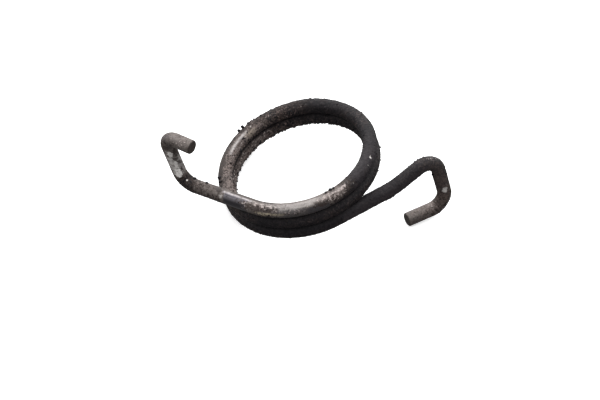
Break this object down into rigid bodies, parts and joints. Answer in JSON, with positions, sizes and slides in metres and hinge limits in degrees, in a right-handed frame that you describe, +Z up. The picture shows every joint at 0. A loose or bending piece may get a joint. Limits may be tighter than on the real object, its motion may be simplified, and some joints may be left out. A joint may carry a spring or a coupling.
{
  "type": "torsion spring",
  "caption": "Close-wound left-hand torsion spring of round wire whose two legs are bent back into square hooks with short tangs.",
  "frame": {"origin": "centre of the box round the spring, on the floor that it rests on", "axes": "+Z up from the floor; +X from the upper hook towards the lower hook, the longest way across; the coil's axis leans 18 degrees from +Z, nearly towards -X"},
  "size_m": [0.0812, 0.0462, 0.0278],
  "materials": {
    "spring_steel": "dark oxide with baked-on grime, worn to grey steel on the upper turn and the hooks"
  },
  "bodies": {
    "root": {"spring": "spring_steel"}
  },
  "joints": []
}
